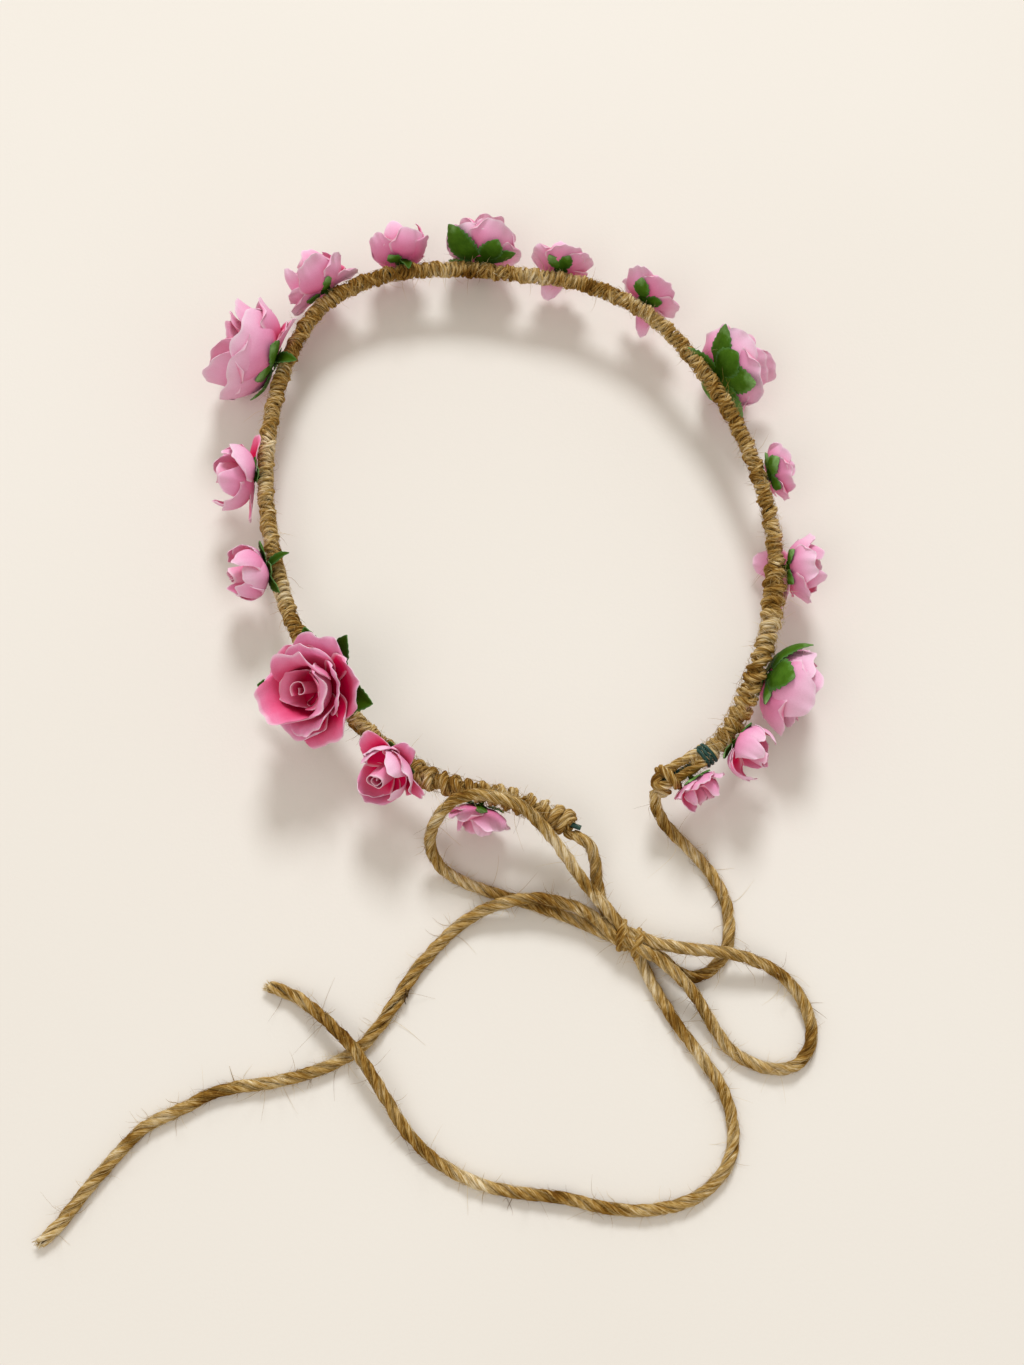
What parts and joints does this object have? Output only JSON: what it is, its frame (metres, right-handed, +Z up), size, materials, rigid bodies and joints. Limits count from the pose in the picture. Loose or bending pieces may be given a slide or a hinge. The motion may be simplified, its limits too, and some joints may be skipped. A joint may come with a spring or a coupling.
{
  "type": "flower crown",
  "caption": "Open wire hoop bound in jute twine, ringed with large and small pink paper roses on bendable stems and tied behind with a twine bow.",
  "frame": {"origin": "centre of the footprint of the hoop and its roses, on the surface that the crown lies on", "axes": "+Z up, square to the hoop; +Y from the gap and the bow at the back towards the middle rose at the front; +X to the wearer's right"},
  "size_m": [0.2914, 0.3327, 0.0372],
  "materials": {
    "stem_wire": "dark green paper-covered florist's wire, matte",
    "wrapped_twine": "three-ply jute twine wound in tight turns, rough and fibrous",
    "loose_twine": "three-ply jute twine, loosely twisted, with stray fibres",
    "petal_paper": "matte mulberry paper, soft pink, paler at the cut edges",
    "inner_petal_paper": "matte mulberry paper, deeper pink towards the middle",
    "bud_paper": "matte mulberry paper rolled tight, magenta in the folds",
    "leaf_paper": "matte dark green paper with toothed edges"
  },
  "bodies": {
    "hoop": {"core_wire": "stem_wire", "twine_wrap": "wrapped_twine", "left_binding": "wrapped_twine", "right_binding": "wrapped_twine", "bow_knot": "loose_twine", "left_tie": "loose_twine", "left_loop": "loose_twine", "left_tail": "loose_twine", "right_tie": "loose_twine", "right_loop": "loose_twine", "right_tail": "loose_twine"},
    "rose_01": {"rose_01_calyx": "leaf_paper", "rose_01_blossom": "petal_paper"},
    "rose_02": {"rose_02_calyx": "leaf_paper", "rose_02_blossom": "petal_paper"},
    "rose_03": {"rose_03_calyx": "leaf_paper", "rose_03_outer_petals": "petal_paper", "rose_03_inner_petals": "inner_petal_paper", "rose_03_bud": "bud_paper"},
    "rose_04": {"rose_04_calyx": "leaf_paper", "rose_04_blossom": "petal_paper"},
    "rose_05": {"rose_05_calyx": "leaf_paper", "rose_05_blossom": "petal_paper"},
    "rose_06": {"rose_06_calyx": "leaf_paper", "rose_06_outer_petals": "petal_paper", "rose_06_inner_petals": "inner_petal_paper", "rose_06_bud": "bud_paper"},
    "rose_07": {"rose_07_calyx": "leaf_paper", "rose_07_blossom": "petal_paper"},
    "rose_08": {"rose_08_calyx": "leaf_paper", "rose_08_blossom": "petal_paper"},
    "rose_09": {"rose_09_calyx": "leaf_paper", "rose_09_outer_petals": "petal_paper", "rose_09_inner_petals": "inner_petal_paper", "rose_09_bud": "bud_paper"},
    "rose_10": {"rose_10_calyx": "leaf_paper", "rose_10_blossom": "petal_paper"},
    "rose_11": {"rose_11_calyx": "leaf_paper", "rose_11_blossom": "petal_paper"},
    "rose_12": {"rose_12_calyx": "leaf_paper", "rose_12_outer_petals": "petal_paper", "rose_12_inner_petals": "inner_petal_paper", "rose_12_bud": "bud_paper"},
    "rose_13": {"rose_13_calyx": "leaf_paper", "rose_13_blossom": "petal_paper"},
    "rose_14": {"rose_14_calyx": "leaf_paper", "rose_14_blossom": "petal_paper"},
    "rose_15": {"rose_15_calyx": "leaf_paper", "rose_15_outer_petals": "petal_paper", "rose_15_inner_petals": "inner_petal_paper", "rose_15_bud": "bud_paper"},
    "rose_16": {"rose_16_calyx": "leaf_paper", "rose_16_blossom": "petal_paper"},
    "rose_17": {"rose_17_calyx": "leaf_paper", "rose_17_blossom": "petal_paper"}
  },
  "joints": [
    {"name": "rose_01_nod", "type": "hinge", "parent": "hoop", "child": "rose_01", "pos_m": [-0.03606, -0.08671, 0.014], "axis": [-0.8545, 0.5194, 0], "range_deg": [-25, 8]},
    {"name": "rose_02_nod", "type": "hinge", "parent": "hoop", "child": "rose_02", "pos_m": [-0.05722, -0.06889, 0.014], "axis": [-0.5941, 0.8044, 0], "range_deg": [-30, 30]},
    {"name": "rose_03_nod", "type": "hinge", "parent": "hoop", "child": "rose_03", "pos_m": [-0.07194, -0.03979, 0.014], "axis": [-0.3121, 0.95, 0], "range_deg": [-30, 30]},
    {"name": "rose_04_nod", "type": "hinge", "parent": "hoop", "child": "rose_04", "pos_m": [-0.07765, 0.00303, 0.01433], "axis": [0.0582, 0.998, 0.0245], "range_deg": [-30, 30]},
    {"name": "rose_05_nod", "type": "hinge", "parent": "hoop", "child": "rose_05", "pos_m": [-0.07309, 0.03541, 0.01502], "axis": [0.2524, 0.9676, 0.0074], "range_deg": [-30, 30]},
    {"name": "rose_06_nod", "type": "hinge", "parent": "hoop", "child": "rose_06", "pos_m": [-0.05628, 0.07357, 0.015], "axis": [0.5688, 0.8225, 0], "range_deg": [-30, 30]},
    {"name": "rose_07_nod", "type": "hinge", "parent": "hoop", "child": "rose_07", "pos_m": [-0.0351, 0.09356, 0.015], "axis": [0.9267, 0.3758, 0], "range_deg": [-30, 30]},
    {"name": "rose_08_nod", "type": "hinge", "parent": "hoop", "child": "rose_08", "pos_m": [-0.00921, 0.09641, 0.01498], "axis": [0.9906, -0.137, -0.0034], "range_deg": [-30, 30]},
    {"name": "rose_09_nod", "type": "hinge", "parent": "hoop", "child": "rose_09", "pos_m": [0.01553, 0.08941, 0.01513], "axis": [0.9216, -0.3878, 0.0172], "range_deg": [-30, 30]},
    {"name": "rose_10_nod", "type": "hinge", "parent": "hoop", "child": "rose_10", "pos_m": [0.03968, 0.07777, 0.01636], "axis": [0.8718, -0.4846, 0.071], "range_deg": [-30, 30]},
    {"name": "rose_11_nod", "type": "hinge", "parent": "hoop", "child": "rose_11", "pos_m": [0.06123, 0.05875, 0.01784], "axis": [0.5986, -0.8003, 0.0357], "range_deg": [-30, 30]},
    {"name": "rose_12_nod", "type": "hinge", "parent": "hoop", "child": "rose_12", "pos_m": [0.0749, 0.0263, 0.01855], "axis": [0.2433, -0.9699, 0.004], "range_deg": [-30, 30]},
    {"name": "rose_13_nod", "type": "hinge", "parent": "hoop", "child": "rose_13", "pos_m": [0.07892, -0.01201, 0.01801], "axis": [-0.0377, -0.999, -0.0226], "range_deg": [-30, 30]},
    {"name": "rose_14_nod", "type": "hinge", "parent": "hoop", "child": "rose_14", "pos_m": [0.0738, -0.04317, 0.01733], "axis": [-0.2992, -0.954, -0.0211], "range_deg": [-30, 30]},
    {"name": "rose_15_nod", "type": "hinge", "parent": "hoop", "child": "rose_15", "pos_m": [0.05606, -0.07412, 0.01658], "axis": [-0.6407, -0.7673, -0.0283], "range_deg": [-30, 30]},
    {"name": "rose_16_nod", "type": "hinge", "parent": "hoop", "child": "rose_16", "pos_m": [0.04012, -0.09144, 0.01561], "axis": [-0.811, -0.5826, -0.0532], "range_deg": [-30, 30]},
    {"name": "rose_17_nod", "type": "hinge", "parent": "hoop", "child": "rose_17", "pos_m": [0.02525, -0.09726, 0.01463], "axis": [-0.9713, -0.2287, -0.0652], "range_deg": [-30, 30]}
  ]
}
